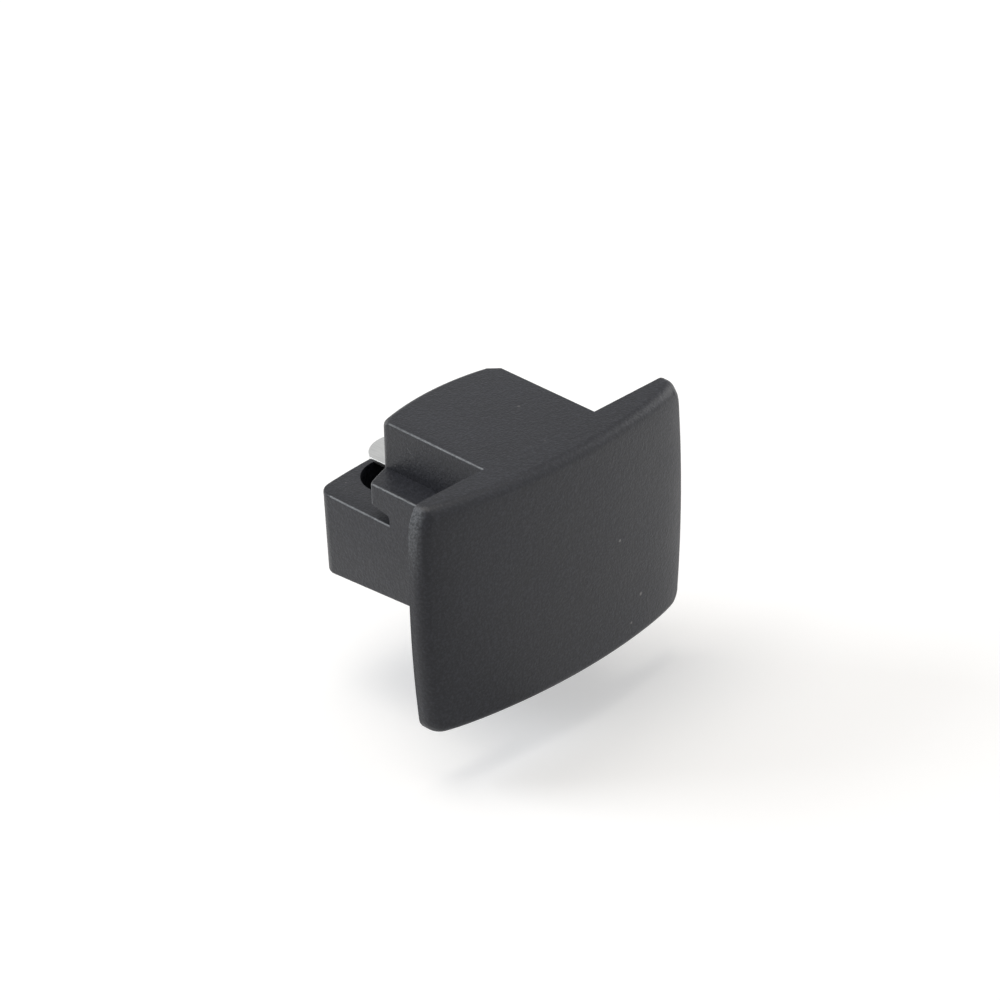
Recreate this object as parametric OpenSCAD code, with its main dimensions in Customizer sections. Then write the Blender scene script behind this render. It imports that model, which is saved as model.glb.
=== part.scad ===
// End connector for a surface-mounted lighting track.
// A moulded cap: a bowed face plate that covers the end of the track, and a
// stepped plug behind it that slides into the track's channel. A flat steel
// tongue is held in the plug and stands out at its back.
// X runs across the track, Y runs into it and Z is up. The origin is on the
// rear of the face plate, at the middle of the plate's lower edge.

/* [Face plate] */
// Width of the face plate, side to side
plate_w = 36; // [32:0.5:44]
// Height of the face plate
plate_h = 25.4; // [24:0.1:32]
// Thickness of the face plate at its left and right edges
plate_edge_t = 1.75; // [1.7:0.05:3]
// How far the front face bows out between its left and right edges
plate_crown = 2.85; // [1.5:0.05:3.2]
// Rounding of the front edges and of the corners of the plate
plate_round = 1.5; // [0.8:0.05:1.6]

/* [Plug] */
// Step from the top of the face plate down to the top of the plug
top_step = 0.25; // [0:0.05:0.6]
// Width of the neck, which fills the mouth of the track
neck_w = 15.4; // [12:0.1:18]
// Height of the neck above the shoulder
neck_h = 5.05; // [4:0.05:6]
// Width of the shoulder and the keel, which fill the track's channel
channel_w = 21.8; // [20:0.1:26]
// Distance from the face plate to the back of the neck, at its middle
neck_len = 15.1; // [14:0.1:18]
// Distance from the face plate to the back of the keel, at its middle
keel_len = 21.35; // [20.5:0.05:26]
// Height of the keel at the face plate
keel_h = 7.6; // [6.6:0.1:9]
// Angle at which the underside of the keel falls towards the back
keel_fall = 3.8; // [0:0.2:5]
// Rounding of the plug's long edges
edge_round = 0.25; // [0.15:0.05:0.35]

/* [Slot] */
// Thickness of the shoulder above the closed end of the slot
shoulder_h = 2.8; // [2.2:0.1:3.2]
// Height of the slot at its closed end
slot_h = 1.05; // [0.8:0.05:1.6]
// Angle at which the roof of the slot rises towards the back
slot_flare = 10.7; // [0:0.1:14]
// Distance from the face plate to the closed end of the slot
slot_start = 10.2; // [9:0.1:11.5]

/* [Pocket] */
// Length of the round-ended pocket in the keel, across the track
pocket_l = 14.55; // [12:0.05:17]
// Width of the pocket, along the track
pocket_w = 7.55; // [6:0.05:8]
// Depth of the pocket
pocket_depth = 5.5; // [3:0.1:5.8]
// Wall left between the pocket and the back of the keel
pocket_wall = 0.9; // [0.8:0.05:2]

/* [Tongue] */
// Width of the steel tongue
tongue_w = 6.4; // [5:0.1:8]
// Thickness of the steel tongue
tongue_t = 0.45; // [0.3:0.05:0.8]
// Radius of the tongue's round end
tongue_end_r = 3.55; // [3.2:0.05:6]
// How far the tongue stands out past the back of the keel
tongue_reach = 1.7; // [0.5:0.1:4]
// Depth of the groove that the tongue lies in
tongue_groove = 0.2; // [0.1:0.05:0.3]
// Distance from the face plate to the tongue's hidden front end
tongue_root = 5.2; // [3:0.1:8]

/* [Hidden] */
$fn = 96;

overlap = 0.5;
graze = 0.002;
rim_flat = 0.25;
neck_back_r = 27;
shoulder_back_r = 26.5;
keel_back_r = 75;
neck_corner_r = 0.9;
shoulder_corner_r = 0.4;
shoulder_step = 0.05;
shoulder_inset = 0.02;
keel_corner_r = 2;
keel_round = 0.8;
slot_end_r = 0.35;

plug_top = plate_h - top_step;
shoulder_top = plug_top - neck_h;
slot_roof = shoulder_top - shoulder_h;
keel_top = slot_roof - slot_h;
keel_bottom = keel_top - keel_h;
crown_r = (pow(plate_w / 2, 2) + pow(plate_crown, 2)) / (2 * plate_crown);
plate_front = plate_edge_t + plate_crown;
tongue_floor = keel_top - tongue_groove;
tongue_end = keel_len + tongue_reach;
keel_back = (keel_len - keel_h * tan(keel_fall)) * cos(keel_fall);
pocket_y = keel_len - pocket_wall - pocket_w / 2;

// Centre of the round that joins a side at x = half_w to a bowed end. The
// round stands out of the bow by graze, so that the two cross cleanly.
function corner_y(half_w, end_y, end_r, corner_r) =
    end_y - end_r + sqrt(pow(end_r - corner_r + graze, 2) - pow(half_w - corner_r, 2));

// Angle, from the X axis, at which that round meets the bowed end
function corner_angle(half_w, end_y, end_r, corner_r) =
    acos((half_w - corner_r) / (end_r - corner_r));

// One half of a block's section, from x = 0 out to x = depth and from z = 0 up
// to z = height. low_r and high_r round its outer corners.
module rim_section(depth, height, low_r, high_r) {
    difference() {
        square([depth, height]);
        if (low_r > 0)
            corner_waste(depth, 0, low_r, 1);
        if (high_r > 0)
            corner_waste(depth, height, high_r, -1);
    }
}

// What a round of radius r takes off the corner at (x, y). up is 1 for a
// lower corner and -1 for an upper one.
module corner_waste(x, y, r, up) {
    difference() {
        translate([x - r, up > 0 ? y - 1 : y - r])
            square([r + 1, r + 1]);
        translate([x - r, y + up * r])
            circle(r);
    }
}

// Block with straight sides, a bowed end at y = end_y and rounded corners. The
// same section is carried along the sides, round the corners and over the bow,
// so its rounded edges run all the way round but for the face at y = root_y.
module bowed_block(half_w, end_y, end_r, corner_r, height, root_y = 0, low_r = 0, high_r = 0) {
    y = corner_y(half_w, end_y, end_r, corner_r);
    angle = corner_angle(half_w, end_y, end_r, corner_r);
    inner_r = y - (end_y - end_r) - (y - root_y) / 2;
    translate([0, root_y, 0])
        rotate([90, 0, 180])
            linear_extrude(y - root_y)
                for (flip = [0, 1])
                    mirror([flip, 0, 0])
                        rim_section(half_w, height, low_r, high_r);
    intersection() {
        union() {
            for (side = [-1, 1])
                translate([side * (half_w - corner_r), y, 0])
                    rotate_extrude()
                        rim_section(corner_r, height, low_r, high_r);
            translate([0, end_y - end_r, 0])
                rotate([0, 0, angle])
                    rotate_extrude(angle = 180 - 2 * angle)
                        translate([inner_r, 0])
                            rim_section(end_r - inner_r, height, low_r, high_r);
        }
        translate([-half_w - 1, root_y, -1])
            cube([2 * half_w + 2, end_y + 1 - root_y, height + 2]);
    }
}

// The same outline seen from above, from y = root_y, as a plain shape
module bowed_outline(half_w, end_y, end_r, corner_r, root_y) {
    y = corner_y(half_w, end_y, end_r, corner_r);
    difference() {
        translate([-half_w, root_y])
            square([2 * half_w, end_y + 2 - root_y]);
        difference() {
            translate([-half_w - 1, y])
                square([2 * half_w + 2, end_y + 4 - y]);
            intersection() {
                translate([0, end_y - end_r])
                    circle(end_r);
                translate([-half_w + corner_r, y - 1])
                    square([2 * (half_w - corner_r), end_y + 6 - y]);
            }
            for (side = [-1, 1])
                translate([side * (half_w - corner_r), y])
                    circle(corner_r);
        }
    }
}

module face_plate() {
    mirror([0, 1, 0])
        bowed_block(plate_w / 2, plate_front, crown_r, plate_round + rim_flat, plate_h,
            low_r = plate_round, high_r = plate_round);
}

module neck() {
    translate([0, 0, shoulder_top - overlap])
        bowed_block(neck_w / 2, neck_len, neck_back_r, neck_corner_r,
            neck_h + overlap, root_y = -overlap, high_r = edge_round);
}

module shoulder() {
    difference() {
        translate([0, 0, keel_top - overlap])
            bowed_block(channel_w / 2 - shoulder_inset, neck_len + shoulder_step,
                shoulder_back_r, shoulder_corner_r, shoulder_top - keel_top + overlap,
                root_y = -overlap, high_r = edge_round);
        slot();
    }
}

// Space under the back of the shoulder, open at the sides and the back
module slot() {
    run = neck_len - slot_start + overlap;
    translate([-channel_w, 0, 0])
        rotate([90, 0, 90])
            linear_extrude(2 * channel_w)
                translate([slot_start, 0]) {
                    translate([0, keel_top - 2 * overlap])
                        square([run, slot_h + 2 * overlap - slot_end_r]);
                    translate([slot_end_r, slot_roof - slot_end_r])
                        circle(slot_end_r);
                    polygon([
                        [slot_end_r, slot_roof - slot_end_r],
                        [slot_end_r, slot_roof],
                        [run, slot_roof + (run - slot_end_r) * tan(slot_flare)],
                        [run, slot_roof - slot_end_r]
                    ]);
                }
}

// The keel's sides and top are square to the face plate. Its underside and its
// back are square to each other and lean together by keel_fall.
module keel() {
    deep = keel_h + keel_len * tan(keel_fall) + 1;
    intersection() {
        translate([0, -overlap, keel_top - deep])
            rotate([90, 0, 180])
                linear_extrude(keel_len + 2)
                    for (flip = [0, 1])
                        mirror([flip, 0, 0])
                            rim_section(channel_w / 2, deep, 0, edge_round);
        translate([0, 0, keel_bottom])
            rotate([-keel_fall, 0, 0])
                linear_extrude(deep + 2)
                    bowed_outline(channel_w / 2, keel_back, keel_back_r, keel_corner_r, -1.2);
        translate([0, 0, keel_bottom])
            rotate([-keel_fall, 0, 0])
                translate([-channel_w, 0, 0])
                    rotate([90, 0, 90])
                        linear_extrude(2 * channel_w)
                            keel_side(deep + 2);
    }
}

// Side view of the keel before it is leaned, with its lower back corner round
module keel_side(height) {
    translate([-2, 0])
        rim_section(keel_back + 2, height, keel_round, 0);
}

module pocket() {
    reach = (pocket_l - pocket_w) / 2;
    translate([0, pocket_y, keel_top - pocket_depth])
        linear_extrude(pocket_depth + slot_h / 2) {
            for (side = [-1, 1])
                translate([side * reach, 0])
                    circle(d = pocket_w);
            square([2 * reach, pocket_w], center = true);
        }
}

module tongue_shape() {
    translate([0, 0, tongue_floor])
        linear_extrude(tongue_t)
            intersection() {
                translate([-tongue_w / 2, tongue_root])
                    square([tongue_w, tongue_end - tongue_root]);
                union() {
                    translate([0, tongue_end - tongue_end_r])
                        circle(tongue_end_r);
                    translate([-tongue_w / 2, tongue_root])
                        square([tongue_w, tongue_end - tongue_end_r - tongue_root]);
                }
            }
}

module end_cap() {
    color([0.13, 0.13, 0.14])
        difference() {
            union() {
                face_plate();
                keel();
                shoulder();
                neck();
            }
            pocket();
            tongue_shape();
        }
}

module steel_tongue() {
    color([0.78, 0.79, 0.78])
        tongue_shape();
}

end_cap();
steel_tongue();
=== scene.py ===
"""Visual scene of a track end connector.

A black moulded cap with a bowed face plate and a stepped plug, and the flat
zinc-plated tongue that lies in the plug. Sizes are in millimetres, in the frame
of the CAD model, and are turned into metres where a mesh is made.
"""

import logging
import math
from dataclasses import dataclass
from enum import Enum, IntEnum
from typing import Callable, Iterable, Sequence

import bpy
from mathutils import Matrix, Vector

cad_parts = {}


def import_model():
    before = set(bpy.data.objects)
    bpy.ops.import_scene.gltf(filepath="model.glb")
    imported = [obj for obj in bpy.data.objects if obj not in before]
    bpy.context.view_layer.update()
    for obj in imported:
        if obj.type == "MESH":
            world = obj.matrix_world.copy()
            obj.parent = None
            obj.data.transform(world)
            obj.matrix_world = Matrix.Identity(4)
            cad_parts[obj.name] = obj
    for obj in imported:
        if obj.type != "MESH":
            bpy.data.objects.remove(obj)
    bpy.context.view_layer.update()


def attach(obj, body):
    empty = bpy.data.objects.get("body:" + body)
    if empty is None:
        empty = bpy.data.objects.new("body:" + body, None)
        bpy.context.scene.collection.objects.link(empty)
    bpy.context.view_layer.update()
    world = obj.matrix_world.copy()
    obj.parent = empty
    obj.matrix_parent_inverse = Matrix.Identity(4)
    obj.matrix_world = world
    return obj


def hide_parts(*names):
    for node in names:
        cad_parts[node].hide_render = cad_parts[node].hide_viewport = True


MM = 0.001
FLOAT = "NodeSocketFloat"
VECTOR = "NodeSocketVector"
LOG = logging.getLogger("track_end_connector")

Point = tuple[float, float, float]
Span = tuple[float, float]
Colour = tuple[float, float, float, float]
Socket = bpy.types.NodeSocket
Feeds = Sequence[object] | dict[str, object]
VertexTest = Callable[[Vector], bool]
EdgeTest = Callable[[Vector, Vector], bool]


# ---------------------------------------------------------------- workbench


class SelectMode(Enum):
    """What a selection on the workbench is made of."""

    VERT = "VERT"
    EDGE = "EDGE"
    FACE = "FACE"


class Operation(Enum):
    """How two solids are combined."""

    UNION = "UNION"
    DIFFERENCE = "DIFFERENCE"
    INTERSECT = "INTERSECT"


class Axis(IntEnum):
    """The axes, each by its place in a vector."""

    X = 0
    Y = 1
    Z = 2


class Workbench:
    """Modelling steps that every piece of the connector is made with."""

    @staticmethod
    def only(obj: bpy.types.Object) -> None:
        """Selects and activates one object alone.

        Args:
            obj: The object to work on.
        """
        if bpy.context.object and bpy.context.object.mode != "OBJECT":
            bpy.ops.object.mode_set(mode="OBJECT")
        bpy.ops.object.select_all(action="DESELECT")
        obj.select_set(True)
        bpy.context.view_layer.objects.active = obj

    @staticmethod
    def settle(name: str, size: Sequence[float]) -> bpy.types.Object:
        """Gives the newest primitive its size and puts its place in its mesh.

        Args:
            name: Name of the new object.
            size: Its size along its own axes, in millimetres.

        Returns:
            The new object.
        """
        obj = bpy.context.object
        obj.scale = [s * MM for s in size]
        bpy.ops.object.transform_apply(location=True, rotation=True, scale=True)
        obj.name = name
        obj.data.name = name
        return obj

    @classmethod
    def block(cls, name: str, low: Point, high: Point) -> bpy.types.Object:
        """Adds a block between two corners, with its place in its mesh.

        Args:
            name: Name of the new object.
            low: Lowest corner, in millimetres.
            high: Highest corner, in millimetres.

        Returns:
            The new object.
        """
        centre = [(h + l) / 2 * MM for l, h in zip(low, high)]
        bpy.ops.object.select_all(action="DESELECT")
        bpy.ops.mesh.primitive_cube_add(size=1, location=centre)
        return cls.settle(name, [h - l for l, h in zip(low, high)])

    @classmethod
    def edit(cls, obj: bpy.types.Object, mode: SelectMode) -> None:
        """Opens an object in edit mode with nothing selected.

        Args:
            obj: The object to edit.
            mode: What is selected next.
        """
        cls.only(obj)
        bpy.ops.object.mode_set(mode="EDIT")
        bpy.ops.mesh.select_mode(type=mode.value)
        bpy.ops.mesh.select_all(action="DESELECT")

    @classmethod
    def pick_vertices(cls, obj: bpy.types.Object, test: VertexTest) -> None:
        """Selects the vertices that pass a test and leaves edit mode open."""
        cls.edit(obj, SelectMode.VERT)
        cls.pick_members(obj, [v.index for v in obj.data.vertices if test(v.co / MM)])

    @staticmethod
    def pick_members(obj: bpy.types.Object, members: Iterable[int]) -> None:
        """Selects the vertices with these numbers, while edit mode is open.

        Args:
            obj: The object that is edited.
            members: Numbers of the vertices.
        """
        bpy.ops.mesh.select_all(action="DESELECT")
        bpy.ops.object.mode_set(mode="OBJECT")
        for index in members:
            obj.data.vertices[index].select = True
        bpy.ops.object.mode_set(mode="EDIT")

    @classmethod
    def pick_edges(cls, obj: bpy.types.Object, test: EdgeTest) -> bool:
        """Selects the edges that pass a test and leaves edit mode open.

        Args:
            obj: The object to edit.
            test: Takes the two ends of an edge in millimetres.

        Returns:
            Whether an edge was selected.
        """
        cls.edit(obj, SelectMode.EDGE)
        bpy.ops.object.mode_set(mode="OBJECT")
        place = [vertex.co / MM for vertex in obj.data.vertices]
        chosen = [e for e in obj.data.edges if test(*(place[i] for i in e.vertices))]
        for edge in chosen:
            edge.select = True
        bpy.ops.object.mode_set(mode="EDIT")
        return bool(chosen)

    @staticmethod
    def done() -> None:
        """Leaves edit mode."""
        bpy.ops.object.mode_set(mode="OBJECT")

    @classmethod
    def slice_at(cls, obj: bpy.types.Object, axis: Axis, places: Iterable[float]) -> None:
        """Cuts a loop of edges across a piece at each place along an axis.

        Args:
            obj: The object to cut.
            axis: The axis that the cuts are square to.
            places: Where to cut, in millimetres.
        """
        normal = [float(i == axis) for i in range(3)]
        cls.edit(obj, SelectMode.VERT)
        for place in places:
            bpy.ops.mesh.select_all(action="SELECT")
            bpy.ops.mesh.bisect(plane_co=[n * place * MM for n in normal], plane_no=normal)
        cls.done()

    @staticmethod
    def rows(
        obj: bpy.types.Object, along: Axis, chosen: VertexTest = lambda p: True
    ) -> dict[float, list[int]]:
        """Groups vertices by their place on an axis.

        Args:
            obj: The object.
            along: The axis.
            chosen: Which vertices take part.

        Returns:
            The numbers of the vertices in each row.
        """
        found: dict[float, list[int]] = {}
        for vertex in obj.data.vertices:
            if chosen(vertex.co / MM):
                row = round(vertex.co[along] / MM, 4)
                found.setdefault(row, []).append(vertex.index)
        return dict(sorted(found.items()))

    @classmethod
    def shift_rows(
        cls,
        obj: bpy.types.Object,
        along: Axis,
        chosen: VertexTest,
        offset: Callable[[float], Point],
    ) -> None:
        """Moves each row of chosen vertices by an offset of its own.

        Args:
            obj: The object to shape.
            along: Axis that tells the rows apart.
            chosen: Which vertices take part.
            offset: Takes a row's place on that axis and gives the move.
        """
        rows = cls.rows(obj, along, chosen)
        cls.edit(obj, SelectMode.VERT)
        for row, members in rows.items():
            move = [m * MM for m in offset(row)]
            if any(move):
                cls.pick_members(obj, members)
                bpy.ops.transform.translate(value=move)
        cls.done()

    @classmethod
    def round_edges(
        cls, obj: bpy.types.Object, test: EdgeTest, radius: float, segments: int
    ) -> None:
        """Rounds the edges that pass a test.

        Args:
            obj: The object to shape.
            test: Takes the two ends of an edge in millimetres.
            radius: How far the round reaches from the edge, in millimetres.
            segments: How many steps the round has.
        """
        if cls.pick_edges(obj, test):
            bpy.ops.mesh.bevel(
                offset=radius * MM, offset_type="OFFSET", segments=segments, affect="EDGES"
            )
        cls.done()

    @classmethod
    def combine(
        cls, obj: bpy.types.Object, other: bpy.types.Object, operation: Operation
    ) -> bpy.types.Object:
        """Joins a piece and another solid, or cuts one by the other.

        Args:
            obj: The piece that stays.
            other: The solid that is used up.
            operation: What is done with the two.

        Returns:
            The piece.
        """
        cls.only(obj)
        modifier = obj.modifiers.new("combine", "BOOLEAN")
        modifier.operation = operation.value
        modifier.solver = "EXACT"
        modifier.object = other
        bpy.ops.object.modifier_apply(modifier=modifier.name)
        bpy.data.objects.remove(other, do_unlink=True)
        return obj

    @classmethod
    def clean(cls, obj: bpy.types.Object, angle: float = 32) -> bpy.types.Object:
        """Merges doubles, turns the faces outwards and smooths the rounds.

        Args:
            obj: The piece to finish.
            angle: Largest angle, in degrees, that is shaded smooth.

        Returns:
            The piece.
        """
        cls.edit(obj, SelectMode.VERT)
        cls.close_up(2e-7)
        cls.done()
        bpy.ops.object.shade_smooth_by_angle(angle=math.radians(angle))
        return obj

    @staticmethod
    def close_up(threshold: float) -> None:
        """Merges doubles and turns the faces outwards, while edit mode is open.

        Args:
            threshold: How close doubles are, in metres.
        """
        bpy.ops.mesh.select_all(action="SELECT")
        bpy.ops.mesh.remove_doubles(threshold=threshold)
        bpy.ops.mesh.normals_make_consistent(inside=False)


def near(value: float, target: float, slack: float = 1e-3) -> bool:
    """Tells whether two sizes in millimetres are the same."""
    return abs(value - target) < slack


def both(a: Vector, b: Vector, axis: Axis, place: float) -> bool:
    """Tells whether both ends of an edge lie at a place on an axis."""
    return near(a[axis], place) and near(b[axis], place)


def on_side(a: Vector, b: Vector, half_w: float) -> bool:
    """Tells whether an edge lies on the left or the right side of a piece."""
    return near(abs(a.x), half_w) and near(a.x, b.x)


def spread(low: float, high: float, count: int) -> list[float]:
    """Gives places that part a span evenly, without its ends.

    Args:
        low: Start of the span.
        high: End of the span.
        count: How many places.

    Returns:
        The places.
    """
    return [low + (high - low) * (i + 1) / (count + 1) for i in range(count)]


# ------------------------------------------------------------------- shapes


@dataclass(frozen=True)
class Bow:
    """An arc seen from above that closes a block, symmetric about x = 0."""

    end_y: float
    radius: float

    def y(self, x: float) -> float:
        """Gives the arc's place at x."""
        return self.end_y - self.radius + math.sqrt(self.radius**2 - x**2)


@dataclass
class BowedBlock:
    """A block with straight sides and a bowed back.

    The piece reaches root_y into what carries it.
    """

    name: str
    half_w: float
    low_z: float
    high_z: float
    bow: Bow
    corner_r: float
    root_y: float = -0.5
    top_r: float = 0.25
    columns: int = 24
    corner_share: float = 1.35

    @property
    def middle(self) -> float:
        """Gives the place halfway along the block."""
        return (self.root_y + self.bow.end_y) / 2

    def build(self) -> bpy.types.Object:
        """Models the block with its bowed back and round corners.

        Returns:
            The new object.
        """
        wb = Workbench
        obj = wb.block(
            self.name,
            (-self.half_w, self.root_y, self.low_z),
            (self.half_w, self.bow.end_y, self.high_z),
        )
        reach = self.half_w - self.corner_share * self.corner_r
        wb.slice_at(obj, Axis.X, [-reach, *spread(-reach, reach, self.columns), reach])
        wb.shift_rows(
            obj,
            Axis.X,
            lambda p: p.y > self.middle,
            lambda x: (0, self.bow.y(x) - self.bow.end_y, 0),
        )
        wb.round_edges(
            obj,
            lambda a, b: on_side(a, b, self.half_w)
            and a.y > self.middle
            and not near(a.z, b.z),
            self.corner_r,
            10,
        )
        self.shape_low_end(obj)
        wb.round_edges(obj, self.on_top_rim, self.top_r, 5)
        return obj

    def on_top_rim(self, a: Vector, b: Vector) -> bool:
        """Tells whether an edge lies round the top, but not at the root.

        Args:
            a: The edge's first end, in millimetres.
            b: Its second end.

        Returns:
            Whether it does.
        """
        if not both(a, b, Axis.Z, self.high_z) or both(a, b, Axis.Y, self.root_y):
            return False
        lengthwise = near(a.x, b.x) and abs(a.y - b.y) > self.bow.end_y / 2
        back = min(a.y, b.y) > self.middle and not lengthwise
        return back or on_side(a, b, self.half_w)

    def shape_low_end(self, obj: bpy.types.Object) -> None:
        """Shapes the underside, which is flat on a plain block."""


@dataclass
class Neck(BowedBlock):
    """The upper block: its rear top edge and its rear top corners are rounder."""

    rear_r: float = 0.95
    tip_r: float = 1.1
    sweep: float = 40.0
    wedge_root: float = 5.0
    diamond_side: float = 60.0
    clearance: float = 0.01

    def build(self) -> bpy.types.Object:
        """Models the block and rounds it at its rear top edge and corners."""
        obj = Workbench.combine(super().build(), self.wedge(), Operation.INTERSECT)
        return Workbench.combine(obj, self.diamond(), Operation.INTERSECT)

    def diamond(self) -> bpy.types.Object:
        """Models a turned block that rounds the two rear top corners.

        Its rear faces touch the upright rounds at the neck's rear corners.

        Returns:
            The new object.
        """
        wb = Workbench
        slope = math.asin(self.half_w / self.bow.radius)
        round_r = self.corner_r / math.tan(math.radians(45) - slope / 2)
        centre_x = self.half_w - round_r
        centre_y = self.bow.y(self.half_w) - self.corner_r
        apex = centre_x + centre_y + (round_r + self.clearance) * math.sqrt(2)
        size, low, high = self.diamond_side, self.low_z - 1, self.high_z + self.clearance
        bpy.ops.object.select_all(action="DESELECT")
        bpy.ops.mesh.primitive_cube_add(
            size=1,
            location=(0, (apex - size / math.sqrt(2)) * MM, (low + high) / 2 * MM),
            rotation=(0, 0, math.radians(45)),
        )
        obj = wb.settle("neck_diamond", (size, size, high - low))
        wb.round_edges(
            obj,
            lambda a, b: both(a, b, Axis.Z, high)
            and near(max(a.y, b.y), apex, self.clearance),
            self.tip_r,
            8,
        )
        return obj

    def wedge(self) -> bpy.types.Object:
        """Models a wedge that holds the block and is round at its rear top edge.

        Returns:
            The new object.
        """
        wb = Workbench
        axis_y = self.bow.end_y - self.bow.radius
        inner, outer = axis_y + self.wedge_root, self.bow.end_y + self.clearance
        low, high = self.low_z - 1, self.high_z + self.clearance
        bpy.ops.object.select_all(action="DESELECT")
        bpy.ops.mesh.primitive_plane_add(
            size=1,
            location=(0, (inner + outer) / 2 * MM, (low + high) / 2 * MM),
            rotation=(0, math.radians(90), 0),
        )
        obj = wb.settle("neck_wedge", (high - low, outer - inner, 1))
        wb.pick_vertices(obj, lambda p: near(p.y, outer) and near(p.z, high))
        bpy.ops.mesh.bevel(
            offset=self.rear_r * MM, offset_type="OFFSET", segments=8, affect="VERTICES"
        )
        centre = (0, axis_y * MM, 0)
        bpy.ops.mesh.select_all(action="SELECT")
        bpy.ops.transform.rotate(
            value=math.radians(self.sweep), orient_axis="Z", center_override=centre
        )
        wb.done()
        onward = 1 if obj.data.vertices[0].co.x < 0 else -1
        wb.edit(obj, SelectMode.FACE)
        bpy.ops.mesh.select_all(action="SELECT")
        bpy.ops.mesh.spin(
            steps=72,
            angle=onward * math.radians(2 * self.sweep),
            center=centre,
            axis=(0, 0, 1),
        )
        wb.close_up(1e-7)
        wb.done()
        return obj


@dataclass
class Keel(BowedBlock):
    """The lowest block: its underside falls to the back, its back leans."""

    fall: float = 3.8
    lean: float = 2.4
    low_side_r: float = 0.3
    back_step: float = 2.5

    def shape_low_end(self, obj: bpy.types.Object) -> None:
        """Slopes the underside, leans the back and rounds the lower edges.

        Args:
            obj: The keel.
        """
        wb = Workbench
        slope = math.tan(math.radians(self.fall))
        lean = (self.high_z - self.low_z) * math.tan(math.radians(self.lean))
        wb.shift_rows(
            obj,
            Axis.Y,
            lambda p: near(p.z, self.low_z),
            lambda y: (0, -lean if y > self.middle else 0, -y * slope),
        )
        wb.round_edges(obj, self.on_low_rim, self.low_side_r, 4)

    def on_low_rim(self, a: Vector, b: Vector) -> bool:
        """Tells whether an edge lies round the underside, but not at the root.

        Args:
            a: The edge's first end, in millimetres.
            b: Its second end.

        Returns:
            Whether it does.
        """
        low = max(a.z, b.z) < (self.low_z + self.high_z) / 2
        crosswise = abs(a.y - b.y) < self.back_step and not near(a.x, b.x)
        back = min(a.y, b.y) > self.middle and crosswise
        return low and (back or on_side(a, b, self.half_w))


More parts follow.
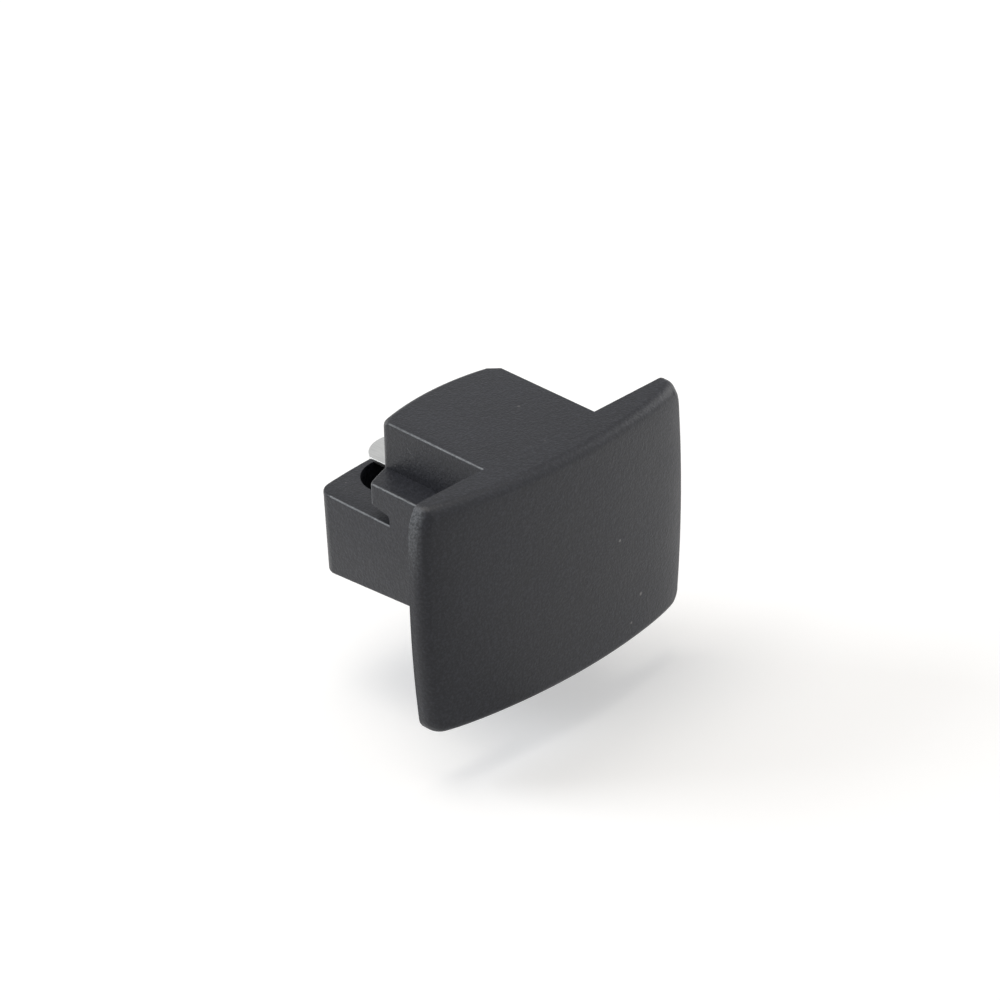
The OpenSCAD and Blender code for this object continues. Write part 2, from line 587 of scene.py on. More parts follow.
@dataclass(frozen=True)
class FacePlate:
    """The plate that closes the end of the track.

    Its sides are a little barrel-shaped and run into the top edge in an arc
    that ends in a small round. Its front bows out and falls off near the sides.
    """

    half_w: float = 18.13
    height: float = 25.4
    rim_t: float = 1.7
    edge_t: float = 1.5
    crown: float = 2.2
    fall: float = 0.64
    fall_reach: float = 1.5
    low_corner_r: float = 1.6
    front_r: float = 1.1
    side_columns: tuple[float, ...] = (1.75, 2.3, 3.0, 4.0)
    inner_columns: int = 25
    first_row: float = 2.3
    last_row: float = 21.2
    inner_rows: int = 8
    arc_rows: tuple[float, ...] = (22.75, 23.2, 23.55, 23.85)
    side_bow: float = 0.61
    side_taper: float = 0.22
    arc_r: float = 5.5
    arc_from: float = 22.3
    tip_round: float = 0.6
    front_limit: float = -0.6

    def thickness(self, x: float) -> float:
        """Gives the plate's thickness.

        Args:
            x: Place across the plate.

        Returns:
            The thickness, in millimetres like x.
        """
        inward, first = self.half_w - abs(x), self.side_columns[0]
        if inward < first:
            inner = self.thickness(self.half_w - first)
            return self.rim_t + (inner - self.rim_t) * inward / first
        bow = self.crown * (1 - (x / self.half_w) ** 2)
        return self.edge_t + bow + self.fall * (1 - math.exp(-inward / self.fall_reach))

    def half_width(self, z: float) -> float:
        """Gives half the plate's width.

        Args:
            z: Height on the plate.

        Returns:
            Half the width, in millimetres like z.
        """
        t = 2 * z / self.height - 1
        half = self.half_w - self.side_bow * t * t + self.side_taper * t
        over = z - self.arc_from
        if over > 0:
            arc = self.arc_r - math.sqrt(self.arc_r**2 - over**2)
            straight = self.half_width(self.arc_from)
            half = min(half, straight - arc)
        return half

    def build(self) -> bpy.types.Object:
        """Models the plate with its bowed front and rounded edges.

        Returns:
            The new object.
        """
        wb = Workbench
        half = self.half_w
        obj = wb.block("moulded_cap", (-half, -self.rim_t, 0), (half, 0, self.height))
        wb.round_edges(
            obj,
            lambda a, b: both(a, b, Axis.Z, 0) and near(a.x, b.x),
            self.low_corner_r,
            10,
        )
        columns = [half - d for d in self.side_columns]
        inner = spread(-columns[-1], columns[-1], self.inner_columns)
        wb.slice_at(obj, Axis.X, sorted([*columns, *inner, *(-c for c in columns)]))
        rows = spread(self.first_row, self.last_row, self.inner_rows)
        wb.slice_at(obj, Axis.Z, [*rows, self.arc_from, *self.arc_rows])
        wb.shift_rows(
            obj,
            Axis.X,
            lambda p: p.y < -self.rim_t / 2,
            lambda x: (0, self.rim_t - self.thickness(x), 0),
        )
        self.shape_sides(obj)
        tip_x = self.half_width(self.height)
        wb.round_edges(
            obj,
            lambda a, b: both(a, b, Axis.Z, self.height) and on_side(a, b, tip_x),
            self.tip_round,
            5,
        )
        wb.round_edges(obj, self.on_front(obj), self.front_r, 10)
        return obj

    def shape_sides(self, obj: bpy.types.Object) -> None:
        """Scales each row of the plate to its width.

        Args:
            obj: The plate.
        """
        wb = Workbench
        rows = wb.rows(obj, Axis.Z)
        wb.edit(obj, SelectMode.VERT)
        for z, members in rows.items():
            share = self.half_width(z) / self.half_w
            wb.pick_members(obj, members)
            bpy.ops.transform.resize(value=(share, 1, 1), center_override=(0, 0, 0))
        wb.done()

    def on_front(self, obj: bpy.types.Object) -> EdgeTest:
        """Gives a test for the edges round the front face.

        Args:
            obj: The plate.

        Returns:
            The test.
        """
        front: set[tuple[int, int]] = set()
        other: set[tuple[int, int]] = set()
        for face in obj.data.polygons:
            kind = front if face.normal.y < self.front_limit else other
            kind.update(face.edge_keys)
        place = [self.rounded(vertex.co / MM) for vertex in obj.data.vertices]
        outline = {frozenset((place[a], place[b])) for a, b in front & other}
        return lambda a, b: frozenset((self.rounded(a), self.rounded(b))) in outline

    @staticmethod
    def rounded(place: Vector) -> tuple[float, ...]:
        """Rounds a place, so that it can be looked up."""
        return tuple(round(c, 4) for c in place)


@dataclass(frozen=True)
class Cutters:
    """The solids that are cut out of the plug."""

    keel_top: float
    slot_roof: float
    slot_half: float = 13.0
    slot_back: float = 17.0
    slot_start: float = 10.2
    slot_flare: float = 10.7
    slot_end_r: float = 0.35
    pocket_l: float = 14.55
    pocket_w: float = 7.55
    pocket_y: float = 16.675
    pocket_depth: float = 5.5
    under: float = 1.0
    over: float = 0.6
    parting_low: Point = (-7.4, 0.003, 25.08)
    parting_high: Point = (7.4, 0.14, 25.6)

    def slot(self) -> bpy.types.Object:
        """Models the space under the back of the shoulder.

        Returns:
            The cutter.
        """
        wb = Workbench
        obj = wb.block(
            "slot_cutter",
            (-self.slot_half, self.slot_start, self.keel_top - self.under),
            (self.slot_half, self.slot_back, self.slot_roof),
        )
        rise = (self.slot_back - self.slot_start) * math.tan(math.radians(self.slot_flare))
        wb.shift_rows(
            obj,
            Axis.Y,
            lambda p: near(p.z, self.slot_roof) and near(p.y, self.slot_back),
            lambda y: (0, 0, rise),
        )
        wb.round_edges(
            obj,
            lambda a, b: both(a, b, Axis.Y, self.slot_start)
            and both(a, b, Axis.Z, self.slot_roof),
            self.slot_end_r,
            8,
        )
        return obj

    def parting_line(self) -> bpy.types.Object:
        """Models the hair-thin groove where the neck meets the plate."""
        return Workbench.block("parting_cutter", self.parting_low, self.parting_high)

    def pocket(self) -> bpy.types.Object:
        """Models the round-ended pocket.

        Returns:
            The cutter.
        """
        half_l, half_w = self.pocket_l / 2, self.pocket_w / 2
        obj = Workbench.block(
            "pocket_cutter",
            (-half_l, self.pocket_y - half_w, self.keel_top - self.pocket_depth),
            (half_l, self.pocket_y + half_w, self.keel_top + self.over),
        )
        Workbench.round_edges(
            obj, lambda a, b: near(a.x, b.x) and near(a.y, b.y), half_w - 1e-3, 20
        )
        return obj


@dataclass(frozen=True)
class Tongue:
    """The flat steel strip that lies in the groove of the keel."""

    floor: float
    half_w: float = 3.2
    thick: float = 0.45
    end_r: float = 3.55
    end_y: float = 23.05
    root_y: float = 5.2
    edge_r: float = 0.06
    room_above: float = 4.0

    def blank(self, name: str, room: float = 0.0) -> bpy.types.Object:
        """Models the strip with its round end, with sharp edges.

        Args:
            name: Name of the new object.
            room: How much larger it is at its sides and its end.

        Returns:
            The new object.
        """
        wb = Workbench
        half, radius = self.half_w + room, self.end_r + room
        centre = self.end_y - self.end_r
        obj = wb.block(
            name,
            (-half, self.root_y, self.floor),
            (half, centre + radius, self.floor + self.thick + room * self.room_above),
        )
        places = [half * math.sin(math.radians(a)) for a in range(-84, 85, 6)]
        wb.slice_at(obj, Axis.X, places)
        wb.shift_rows(
            obj,
            Axis.X,
            lambda p: p.y > centre,
            lambda x: (0, math.sqrt(radius**2 - x**2) - radius, 0),
        )
        return obj

    def build(self) -> bpy.types.Object:
        """Models the strip with its slightly broken edges.

        Returns:
            The finished piece.
        """
        obj = self.blank("zinc_tongue")
        Workbench.round_edges(obj, self.on_rim, self.edge_r, 3)
        return Workbench.clean(obj, 35)

    def on_rim(self, a: Vector, b: Vector) -> bool:
        """Tells whether an edge lies round the top or the bottom face.

        Args:
            a: The edge's first end, in millimetres.
            b: Its second end.

        Returns:
            Whether it does.
        """
        level = near(a.z, b.z) and (
            near(a.z, self.floor) or near(a.z, self.floor + self.thick)
        )
        end = min(a.y, b.y) > (self.root_y + self.end_y) / 2 and not near(a.x, b.x)
        return level and (end or on_side(a, b, self.half_w))


@dataclass(frozen=True)
class MouldedCap:
    """The black moulding: the face plate and the plug behind it."""

    plug_top: float = 25.15
    shoulder_top: float = 20.1
    slot_roof: float = 17.3
    keel_top: float = 16.25
    keel_low: float = 8.5
    channel_half: float = 10.9
    neck_half: float = 7.7
    neck_lift: float = 0.08
    neck_root: float = 0.5
    shoulder_root: float = 0.4
    groove_play: float = 0.02
    shoulder_bow: Bow = Bow(15.15, 26.5)
    keel_bow: Bow = Bow(21.35, 75)
    neck_bow: Bow = Bow(15.55, 27)
    shoulder_corner_r: float = 0.4
    keel_corner_r: float = 1.6
    neck_corner_r: float = 0.9

    def build(self, tongue: Tongue) -> bpy.types.Object:
        """Models the plate and the plug and makes them one moulding.

        Args:
            tongue: The strip that the groove is cut for.

        Returns:
            The finished piece.
        """
        wb = Workbench
        cut = Cutters(self.keel_top, self.slot_roof)
        cap = FacePlate().build()
        shoulder = BowedBlock(
            "shoulder", self.channel_half, self.keel_top - self.shoulder_root,
            self.shoulder_top, self.shoulder_bow, self.shoulder_corner_r,
        ).build()
        wb.combine(shoulder, cut.slot(), Operation.DIFFERENCE)
        keel = Keel(
            "keel", self.channel_half, self.keel_low, self.keel_top,
            self.keel_bow, self.keel_corner_r,
        ).build()
        wb.combine(keel, cut.pocket(), Operation.DIFFERENCE)
        neck = Neck(
            "neck", self.neck_half, self.shoulder_top - self.neck_root,
            self.plug_top + self.neck_lift, self.neck_bow, self.neck_corner_r,
        ).build()
        for part in (keel, shoulder, neck):
            wb.combine(cap, part, Operation.UNION)
        groove = tongue.blank("groove_cutter", self.groove_play)
        for cutter in (groove, cut.parting_line()):
            wb.combine(cap, cutter, Operation.DIFFERENCE)
        return wb.clean(cap)


# ---------------------------------------------------------------- materials


class NodeSheet:
    """A node tree with short calls to add nodes and links."""

    def __init__(self, tree: bpy.types.NodeTree) -> None:
        """Keeps the tree that nodes are added to."""
        self.tree = tree

    def add(self, kind: str, feeds: Feeds = (), **values: object) -> bpy.types.Node:
        """Adds a node, sets its properties and feeds its inputs.

        Args:
            kind: The node's type.
            feeds: A value or a socket for each input, in their order or by name.
            values: Properties of the node.

        Returns:
            The node.
        """
        node = self.tree.nodes.new(kind)
        for key, value in values.items():
            setattr(node, key, value)
        for key, value in feeds.items() if isinstance(feeds, dict) else enumerate(feeds):
            if isinstance(value, Socket):
                self.link(value, node.inputs[key])
            else:
                node.inputs[key].default_value = value
        return node

    def link(self, out: Socket, into: Socket) -> None:
        """Links one socket to another."""
        self.tree.links.new(out, into)

    def math(self, operation: str, a: object, b: object = 0.0, clamp: bool = False) -> Socket:
        """Adds a math node; clamp keeps its result between 0 and 1."""
        return self.add(
            "ShaderNodeMath", (a, b), operation=operation, use_clamp=clamp
        ).outputs[0]

    def vector(self, operation: str, a: object, b: object) -> Socket:
        """Adds a vector math node.

        Args:
            operation: The node's operation.
            a: First vector or socket.
            b: Second vector or socket.

        Returns:
            The output socket.
        """
        node = self.add("ShaderNodeVectorMath", (a, b), operation=operation)
        number = operation in ("DOT_PRODUCT", "DISTANCE")
        return node.outputs["Value" if number else "Vector"]

    def ramp(self, value: object, span: Sequence[object], out: Span = (0.0, 1.0)) -> Socket:
        """Maps a value from one range to another, smoothly and clamped.

        Args:
            value: The value or socket to map.
            span: The two values that give the two results.
            out: The two results.

        Returns:
            The output socket.
        """
        feeds = (value, *span, *out)
        node = self.add("ShaderNodeMapRange", feeds, interpolation_type="SMOOTHSTEP")
        return node.outputs[0]

    def noise(self, place: Socket, scale: object, detail: float, rough: float = 0.5) -> Socket:
        """Adds a noise texture.

        Args:
            place: Socket with the place on the piece.
            scale: Size of the pattern, in waves per metre.
            detail: How many finer layers it has.
            rough: How strong the finer layers are.

        Returns:
            The output socket.
        """
        feeds = {"Vector": place, "Scale": scale, "Detail": detail, "Roughness": rough}
        return self.add("ShaderNodeTexNoise", feeds).outputs["Fac"]

    def mix(self, share: Socket, a: object, b: object) -> Socket:
        """Mixes two colours; share is how much of the second."""
        feeds = {"Factor": share, "A": a, "B": b}
        return self.add("ShaderNodeMix", feeds, data_type="RGBA").outputs["Result"]

    def blend(self, share: Socket, a: Socket, b: Socket) -> Socket:
        """Mixes two shaders; share is how much of the second."""
        return self.add("ShaderNodeMixShader", (share, a, b)).outputs[0]

    def axes(self, value: Socket) -> bpy.types.NodeOutputs:
        """Splits a vector and gives the sockets of its three parts."""
        return self.add("ShaderNodeSeparateXYZ", (value,)).outputs

    def group(self, tree: bpy.types.NodeTree, **feeds: object) -> Socket:
        """Places a node group and gives its output."""
        return self.add("ShaderNodeGroup", feeds, node_tree=tree).outputs[0]


def new_material(name: str) -> tuple[bpy.types.Material, NodeSheet]:
    """Starts a material with an empty sheet.

    Args:
        name: Name of the material.

    Returns:
        The material and its sheet.
    """
    material = bpy.data.materials.new(name)
    material.use_nodes = True
    material.node_tree.nodes.clear()
    return material, NodeSheet(material.node_tree)


def close_material(
    sheet: NodeSheet, colour: Socket, rough: Socket, height: Socket, relief: Span, metal: float
) -> None:
    """Closes a material with one shader that has a fine relief.

    Args:
        sheet: The material's sheet.
        colour: Socket with the colour.
        rough: Socket with the roughness.
        height: Socket with the relief's height.
        relief: The relief's strength, and its depth in millimetres.
        metal: 1 for a metal, 0 for the rest.
    """
    strength, depth = relief
    feeds = {"Strength": strength, "Distance": depth * MM, "Height": height}
    normal = sheet.add("ShaderNodeBump", feeds).outputs["Normal"]
    feeds = {"Base Color": colour, "Metallic": metal, "Roughness": rough, "Normal": normal}
    shader = sheet.add("ShaderNodeBsdfPrincipled", feeds)
    sheet.add("ShaderNodeOutputMaterial", {"Surface": shader.outputs["BSDF"]})


def new_group(
    name: str, inputs: Sequence[tuple[str, str, float]], output: tuple[str, str]
) -> tuple[NodeSheet, bpy.types.NodeOutputs, Socket]:
    """Starts a shader node group with named sockets.

    Args:
        name: Name of the group.
        inputs: Name, socket type and default of each input.
        output: Name and socket type of the output.

    Returns:
        The sheet, the sockets that give the inputs, and the output's socket.
    """
    tree = bpy.data.node_groups.new(name, "ShaderNodeTree")
    for label, kind, default in inputs:
        socket = tree.interface.new_socket(name=label, in_out="INPUT", socket_type=kind)
        if kind == FLOAT:
            socket.default_value = default
    label, kind = output
    tree.interface.new_socket(name=label, in_out="OUTPUT", socket_type=kind)
    sheet = NodeSheet(tree)
    given, out = sheet.add("NodeGroupInput"), sheet.add("NodeGroupOutput")
    return sheet, given.outputs, out.inputs[label]


class SurfaceEffects:
    """Effects that the plastic and the steel share, each a node group."""

    def __init__(self) -> None:
        """Builds the groups once."""
        self.dust = self.build_dust()
        self.mottle = self.build_mottle()
        self.streak = self.build_streak()

    @staticmethod
    def build_dust() -> bpy.types.NodeTree:
        """Builds sparse pale specks of dust.

        Returns:
            The node group.
        """
        sheet, given, mask = new_group(
            "dust_specks",
            [("Place", VECTOR, 0), ("Scale", FLOAT, 700), ("Share", FLOAT, 0.02),
             ("Size", FLOAT, 0.12)],
            ("Mask", FLOAT),
        )
        feeds = {"Vector": given["Place"], "Scale": given["Scale"]}
        cells = sheet.add("ShaderNodeTexVoronoi", feeds, feature="F1")
        parts = sheet.add("ShaderNodeSeparateColor", (cells.outputs["Color"],)).outputs
        rare = sheet.math("LESS_THAN", parts[0], given["Share"])
        size = sheet.math("MULTIPLY", given["Size"], sheet.math("ADD", parts[1], 0.35))
        reach = sheet.math("DIVIDE", cells.outputs["Distance"], size)
        spot = sheet.math("SUBTRACT", 1.0, reach, clamp=True)
        sheet.link(sheet.math("MULTIPLY", rare, spot), mask)
        return sheet.tree

    @staticmethod
    def build_mottle() -> bpy.types.NodeTree:
        """Builds a slow variation with a finer one on it, around 0.

        Returns:
            The node group.
        """
        sheet, given, value = new_group(
            "slow_mottle",
            [("Place", VECTOR, 0), ("Scale", FLOAT, 150), ("Fine", FLOAT, 0.4)],
            ("Value", FLOAT),
        )
        fine_scale = sheet.math("MULTIPLY", given["Scale"], 9.0)
        slow = sheet.math("SUBTRACT", sheet.noise(given["Place"], given["Scale"], 2.0), 0.5)
        fine = sheet.math("SUBTRACT", sheet.noise(given["Place"], fine_scale, 3.0), 0.5)
        fine = sheet.math("MULTIPLY", fine, given["Fine"])
        sheet.link(sheet.math("ADD", slow, fine), value)
        return sheet.tree

    @staticmethod
    def build_streak() -> bpy.types.NodeTree:
        """Builds the mask of a thin line between two places.

        Returns:
            The node group.
        """
        sheet, given, mask = new_group(
            "streak_line",
            [("Place", VECTOR, 0), ("From", VECTOR, 0), ("To", VECTOR, 0),
             ("Reach", FLOAT, 0.0001)],
            ("Mask", FLOAT),
        )
        along = sheet.vector("SUBTRACT", given["To"], given["From"])
        offset = sheet.vector("SUBTRACT", given["Place"], given["From"])
        covered = sheet.vector("DOT_PRODUCT", offset, along)
        whole = sheet.vector("DOT_PRODUCT", along, along)
        share = sheet.math("DIVIDE", covered, whole, clamp=True)
        foot = sheet.add("ShaderNodeVectorMath", operation="SCALE")
        sheet.link(along, foot.inputs[0])
        sheet.link(share, foot.inputs["Scale"])
        apart = sheet.vector("DISTANCE", offset, foot.outputs[0])
        full = sheet.math("MULTIPLY", given["Reach"], 0.4)
        sheet.link(sheet.ramp(apart, (full, given["Reach"]), (1.0, 0.0)), mask)
        return sheet.tree

    def line(self, sheet: NodeSheet, place: Socket, ends: Sequence[Point], reach: float) -> Socket:
        """Masks a line between two ends; they and its half width are in millimetres."""
        a, b = (tuple(v * MM for v in end) for end in ends)
        return sheet.group(self.streak, Place=place, From=a, To=b, Reach=reach * MM)


@dataclass(frozen=True)
class SparkErodedPlastic:
    """Black plastic from a spark-eroded mould: fine, dull and a little dusty."""

    base: Colour = (0.0062, 0.0072, 0.0115, 1)
    grain: Colour = (0.030, 0.032, 0.043, 1)
    # pale colour of the painted highlights on the plug's edges and the plate's sides, and of the
    # real scratch
    highlight_and_wear: Colour = (0.118, 0.126, 0.136, 1)
    dust: Colour = (0.32, 0.31, 0.30, 1)
    roughness: float = 0.46
    grain_scale: float = 3800
    coarse_share: float = 0.4
    peaks: Span = (0.40, 0.72)
    peak_strength: float = 0.55
    mottle_strength: float = 0.5
    mottle_roughness: float = 0.12
    coarse_height: float = 0.8
    relief: Span = (0.5, 0.09)
    edge_reach: float = 0.15
    edges: tuple[tuple[Point, Point], ...] = (
        ((10.83, 10.3, 16.18), (10.83, 18.7, 16.18)),
        ((10.83, 0.0, 20.03), (10.83, 12.4, 20.03)),
        ((10.79, 12.66, 17.9), (10.79, 12.66, 19.95)),
        ((7.63, 0.3, 25.16), (7.63, 13.3, 25.16)),
    )
    edge_gaps: Span = (0.3, 0.62)
    edge_levels: Span = (0.45, 1.0)
    edge_smoothing: float = 0.12
    scratch: tuple[Point, Point] = ((-7.7, 10.75, 23.45), (-7.7, 9.95, 22.75))
    scratch_reach: float = 0.07
    scratch_strength: float = 0.4
    dust_strength: float = 0.8
    # where the painted grazing-light highlight lies on the plate's sides
    sheen_side: Span = (0.0166, 0.0174)
    sheen_rear: Span = (-0.0016, -0.0009)
    sheen_high: Span = (0.0165, 0.0245)
    sheen_peaks: Span = (0.36, 0.68)
    sheen_levels: Span = (0.25, 0.9)

    def build(self, effects: SurfaceEffects) -> bpy.types.Material:
        """Builds the material.

        Args:
            effects: The shared node groups.

        Returns:
            The material.
        """
        material, sheet = new_material("black_spark_eroded_plastic")
        place = sheet.add("ShaderNodeTexCoord").outputs["Object"]
        grain = sheet.noise(place, self.grain_scale, 2.0, 0.6)
        coarse = sheet.noise(place, self.grain_scale * self.coarse_share, 2.0)
        mottle = sheet.group(effects.mottle, Place=place, Scale=160.0, Fine=0.5)
        specks = sheet.group(effects.dust, Place=place, Scale=620.0, Share=0.05, Size=0.15)
        peaks = sheet.math("MULTIPLY", sheet.ramp(grain, self.peaks), self.peak_strength)
        slow = sheet.math("MULTIPLY", mottle, self.mottle_strength)
        colour = sheet.mix(sheet.math("ADD", peaks, slow, clamp=True), self.base, self.grain)
        # painted highlight: grazing light on the grain of the plate's upper sides
        colour = sheet.mix(self.painted_side_sheen(sheet, place, grain), colour, self.highlight_and_wear)
        # painted highlight along the plug's upper edges, partly real wear of the edges
        lines = self.edge_highlights_and_wear(sheet, place, effects)
        gaps = sheet.ramp(coarse, self.edge_gaps, self.edge_levels)
        broken = sheet.math("MULTIPLY", lines, gaps)
        colour = sheet.mix(broken, colour, self.highlight_and_wear)
        hairline = effects.line(sheet, place, self.scratch, self.scratch_reach)
        hairline = sheet.math("MULTIPLY", hairline, self.scratch_strength)
        colour = sheet.mix(hairline, colour, self.highlight_and_wear)
        colour = sheet.mix(sheet.math("MULTIPLY", specks, self.dust_strength), colour, self.dust)
        fine = sheet.math("MULTIPLY", coarse, self.coarse_height)
        height = sheet.math("ADD", grain, fine)
        uneven = sheet.math("MULTIPLY", mottle, self.mottle_roughness)
        rough = sheet.math("ADD", self.roughness, uneven)
        smooth = sheet.math("MULTIPLY", lines, self.edge_smoothing)
        rough = sheet.math("SUBTRACT", rough, smooth, clamp=True)
        close_material(sheet, colour, rough, height, self.relief, 0.0)
        return material

    def edge_highlights_and_wear(self, sheet: NodeSheet, place: Socket, effects: SurfaceEffects) -> Socket:
        """Masks the plug's sharp upper edges, on both sides, for a painted highlight that is
        partly real wear of the edges.

        Args:
            sheet: The material's sheet.
            place: Socket with the place on the piece.
            effects: The shared node groups.

        Returns:
            The mask.
        """
        x, y, z = sheet.axes(place)
        folded = sheet.add("ShaderNodeCombineXYZ", (sheet.math("ABSOLUTE", x), y, z))
        total: object = 0.0
        for ends in self.edges:
            line = effects.line(sheet, folded.outputs[0], ends, self.edge_reach)
            total = sheet.math("MAXIMUM", line, total)
        return total

    def painted_side_sheen(self, sheet: NodeSheet, place: Socket, grain: Socket) -> Socket:
        """Masks a painted highlight of grazing light on the coarse grain of the plate's upper
        sides.

        Args:
            sheet: The material's sheet.
            place: Socket with the place on the piece.
            grain: Socket with the grain.

        Returns:
            The mask.
        """
        x, y, z = sheet.axes(place)
        side = sheet.ramp(sheet.math("ABSOLUTE", x), self.sheen_side)
        where = sheet.math("MULTIPLY", side, sheet.ramp(y, self.sheen_rear))
        where = sheet.math("MULTIPLY", where, sheet.ramp(z, self.sheen_high))
        peaks = sheet.ramp(grain, self.sheen_peaks, self.sheen_levels)
        return sheet.math("MULTIPLY", where, peaks)


@dataclass(frozen=True)
class ZincPlatedSteel:
    """Thin steel sheet with a plain zinc plating and blanked edges."""

    base: Colour = (0.82, 0.83, 0.82, 1)
    dull: Colour = (0.72, 0.73, 0.73, 1)
    speck: Colour = (0.2, 0.2, 0.2, 1)
    roughness: float = 0.34
    stretch: Point = (9, 0.7, 9)
    rolled_scale: float = 900
    streaks: Span = (0.35, 0.7)
    speck_strength: float = 0.5
    mottle_roughness: float = 0.2
    relief: Span = (0.15, 0.03)

    def build(self, effects: SurfaceEffects) -> bpy.types.Material:
        """Builds the material.

        Args:
            effects: The shared node groups.

        Returns:
            The material.
        """
        material, sheet = new_material("zinc_plated_steel")
        place = sheet.add("ShaderNodeTexCoord").outputs["Object"]
        feeds = {"Vector": place, "Scale": self.stretch}
        stretched = sheet.add("ShaderNodeMapping", feeds).outputs[0]
        rolled = sheet.noise(stretched, self.rolled_scale, 4.0, 0.6)
        mottle = sheet.group(effects.mottle, Place=place, Scale=500.0, Fine=0.6)
        specks = sheet.group(effects.dust, Place=place, Scale=900.0, Share=0.02, Size=0.12)
        tone = sheet.math("ADD", sheet.ramp(rolled, self.streaks), mottle, clamp=True)
        colour = sheet.mix(tone, self.base, self.dull)
        specks = sheet.math("MULTIPLY", specks, self.speck_strength)
        colour = sheet.mix(specks, colour, self.speck)
        uneven = sheet.math("MULTIPLY", mottle, self.mottle_roughness)
        rough = sheet.math("ADD", self.roughness, uneven, clamp=True)
        close_material(sheet, colour, rough, rolled, self.relief, 1.0)
        return material


# ------------------------------------------------------------------- studio


@dataclass(frozen=True)
class Softbox:
    """A square lamp that looks at the connector."""

    name: str
    place: Point
    size: float
    power: float
    tint: tuple[float, float, float] = (1, 1, 1)

    def build(self, target: Vector) -> None:
        """Adds the lamp.

        Args:
            target: What it looks at, in metres.
        """
        data = bpy.data.lights.new(self.name, "AREA")
        data.shape = "SQUARE"
        data.size = self.size * MM
        data.energy = self.power
        data.color = self.tint
        obj = bpy.data.objects.new(self.name, data)
        bpy.context.scene.collection.objects.link(obj)
        obj.location = Vector(self.place) * MM
        obj.rotation_mode = "QUATERNION"
        obj.rotation_quaternion = (target - obj.location).to_track_quat("-Z", "Y")


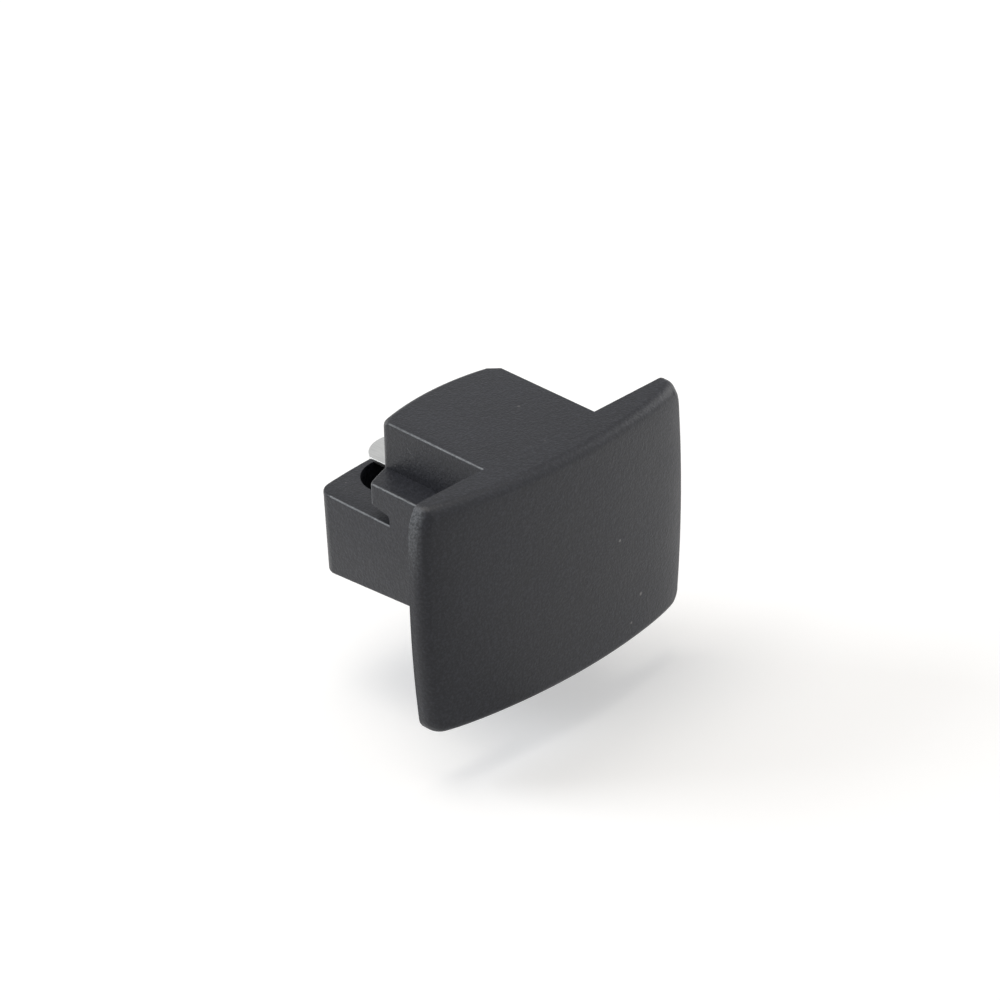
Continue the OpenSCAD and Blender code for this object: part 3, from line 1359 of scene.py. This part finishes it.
@dataclass(frozen=True)
class Studio:
    """Floor, light and camera."""

    azimuth: float = -44.051
    elevation: float = 30.483
    roll: float = -1.601
    distance: float = 501.622
    shift_x: float = 3.981
    shift_y: float = 5.864
    focal_px: float = 5208.971
    frame_px: float = 1000.0
    sensor: float = 36.0
    plate_h: float = 25.4
    target: Point = (0, 6, 13)
    floor_z: float = -6.0
    floor_size: float = 3000.0
    floor_tone: Colour = (0.8, 0.8, 0.8, 1)
    floor_glow: float = 0.32
    world_level: float = 0.5
    camera_side: Span = (0.55, 1.0)
    camera_side_dark: float = 0.38
    far_side: Span = (-0.35, -0.9)
    overhead: Span = (0.1, 0.35)
    far_right_dark: float = 0.42
    lamps: tuple[Softbox, ...] = (
        Softbox("right_softbox", (430, -60, 150), 240, 0.45),
        Softbox("back_left_softbox", (-230, 280, 285), 180, 0.7, (0.93, 0.96, 1.0)),
        Softbox("top_softbox", (-60, 60, 480), 300, 0.9, (1.0, 0.95, 0.88)),
    )

    def build(self) -> None:
        """Sets up everything round the connector."""
        scene = bpy.context.scene
        scene.view_settings.view_transform = "Standard"
        self.add_camera()
        self.add_world()
        self.add_floor()
        for lamp in self.lamps:
            lamp.build(Vector(self.target) * MM)

    def add_camera(self) -> None:
        """Adds the camera at the photograph's place."""
        a, e, t = (math.radians(v) for v in (self.azimuth, self.elevation, self.roll))
        right = Vector((math.cos(a), math.sin(a), 0))
        back = Vector((math.sin(a) * math.cos(e), -math.cos(a) * math.cos(e), math.sin(e)))
        up = back.cross(right)
        right, up = (
            math.cos(t) * right + math.sin(t) * up,
            -math.sin(t) * right + math.cos(t) * up,
        )
        place = back * self.distance - right * self.shift_x - up * self.shift_y
        place.z += self.plate_h
        data = bpy.data.cameras.new("camera")
        data.sensor_width = self.sensor
        data.lens = self.focal_px / self.frame_px * self.sensor
        data.clip_start, data.clip_end = 0.02, 20
        camera = bpy.data.objects.new("camera", data)
        bpy.context.scene.collection.objects.link(camera)
        turn = Matrix((right, up, back)).transposed().to_4x4()
        camera.matrix_world = Matrix.Translation(place * MM) @ turn
        bpy.context.scene.camera = camera

    @staticmethod
    def seen(sheet: NodeSheet) -> Socket:
        """Tells whether the surroundings are seen, straight or in a gloss.

        Args:
            sheet: The sheet of the floor or the world.

        Returns:
            A socket that is 1 for such rays and 0 for the rest.
        """
        path = sheet.add("ShaderNodeLightPath").outputs
        gloss = sheet.math("MAXIMUM", path["Is Glossy Ray"], path["Is Transmission Ray"])
        return sheet.math("MAXIMUM", path["Is Camera Ray"], gloss)

    @staticmethod
    def plain_or(sheet: NodeSheet, shaded: Socket) -> Socket:
        """Gives 1 to the camera's own rays and a shaded value to the rest."""
        camera = sheet.add("ShaderNodeLightPath").outputs["Is Camera Ray"]
        return sheet.math("MAXIMUM", camera, shaded)

    def shade(self, sheet: NodeSheet, toward: Socket, sky: bool) -> Socket:
        """Gives how bright the surroundings are in a gloss, by their side.

        The side where the camera stood in the photograph is darker, and so is
        what hangs above the far right.

        Args:
            sheet: The sheet of the floor or the world.
            toward: Socket with the direction from the connector.
            sky: Whether it is the upper half.

        Returns:
            The socket with the brightness.
        """
        a = math.radians(self.azimuth)
        level = sheet.vector("MULTIPLY", toward, (1, 1, 0))
        level = sheet.vector("NORMALIZE", level, (0, 0, 0))
        near_side = sheet.vector("DOT_PRODUCT", level, (math.sin(a), -math.cos(a), 0))
        dark = sheet.ramp(near_side, self.camera_side, (0.0, self.camera_side_dark))
        bright = sheet.math("SUBTRACT", 1.0, dark)
        if not sky:
            return bright
        high = sheet.ramp(sheet.axes(toward)[2], self.overhead, (0.0, self.far_right_dark))
        far = sheet.ramp(near_side, self.far_side)
        return sheet.math("SUBTRACT", bright, sheet.math("MULTIPLY", high, far))

    def add_world(self) -> None:
        """Gives a plain soft light all round and a white background."""
        world = bpy.data.worlds.new("studio")
        bpy.context.scene.world = world
        world.use_nodes = True
        world.node_tree.nodes.clear()
        sheet = NodeSheet(world.node_tree)
        toward = sheet.add("ShaderNodeTexCoord").outputs["Generated"]
        level = self.plain_or(sheet, self.shade(sheet, toward, sky=True))
        soft = sheet.add("ShaderNodeBackground", {"Strength": self.world_level})
        feeds = {"Color": (1, 1, 1, 1), "Strength": level}
        white = sheet.add("ShaderNodeBackground", feeds)
        mix = sheet.blend(self.seen(sheet), soft.outputs[0], white.outputs[0])
        sheet.add("ShaderNodeOutputWorld", {"Surface": mix})

    def add_floor(self) -> None:
        """Adds a pale floor that shows white but keeps a soft shadow, with painted shade on the
        camera's side where it is seen in a gloss.
        """
        bpy.ops.object.select_all(action="DESELECT")
        bpy.ops.mesh.primitive_plane_add(
            size=self.floor_size * MM, location=(0, 0, self.floor_z * MM)
        )
        floor = bpy.context.object
        floor.name = "floor"
        material, sheet = new_material("pale_floor")
        place = sheet.add("ShaderNodeNewGeometry").outputs["Position"]
        # painted shade: seen in a gloss, the floor is darker on the camera's side
        gloss = self.plain_or(sheet, self.shade(sheet, place, sky=False))
        matt = sheet.add("ShaderNodeBsdfDiffuse", {"Color": self.floor_tone}).outputs[0]
        glow = sheet.add("ShaderNodeEmission", {"Strength": self.floor_glow}).outputs[0]
        lit = sheet.add("ShaderNodeAddShader", (matt, glow)).outputs[0]
        none = sheet.add("ShaderNodeBsdfTransparent", {"Color": (0, 0, 0, 1)}).outputs[0]
        mix = sheet.blend(self.seen(sheet), matt, sheet.blend(gloss, none, lit))
        sheet.add("ShaderNodeOutputMaterial", {"Surface": mix})
        floor.data.materials.append(material)


# --------------------------------------------------------------------- main


def dress(obj: bpy.types.Object, material: bpy.types.Material, node: str) -> None:
    """Gives a piece its material and its place in the frame.

    Args:
        obj: The piece.
        material: Its material.
        node: The CAD node that it stands for.
    """
    obj.data.materials.clear()
    obj.data.materials.append(material)
    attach(obj, "root")
    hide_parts(node)
    LOG.info("%s: %d faces", obj.name, len(obj.data.polygons))


def main() -> None:
    """Builds the scene piece by piece."""
    logging.basicConfig(level=logging.INFO, format="%(name)s: %(message)s")
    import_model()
    Studio().build()
    effects = SurfaceEffects()
    tongue = Tongue(floor=16.05)
    cap = MouldedCap().build(tongue)
    dress(cap, SparkErodedPlastic().build(effects), "end_cap")
    strip = tongue.build()
    dress(strip, ZincPlatedSteel().build(effects), "steel_tongue")


if __name__ == "__main__":
    main()
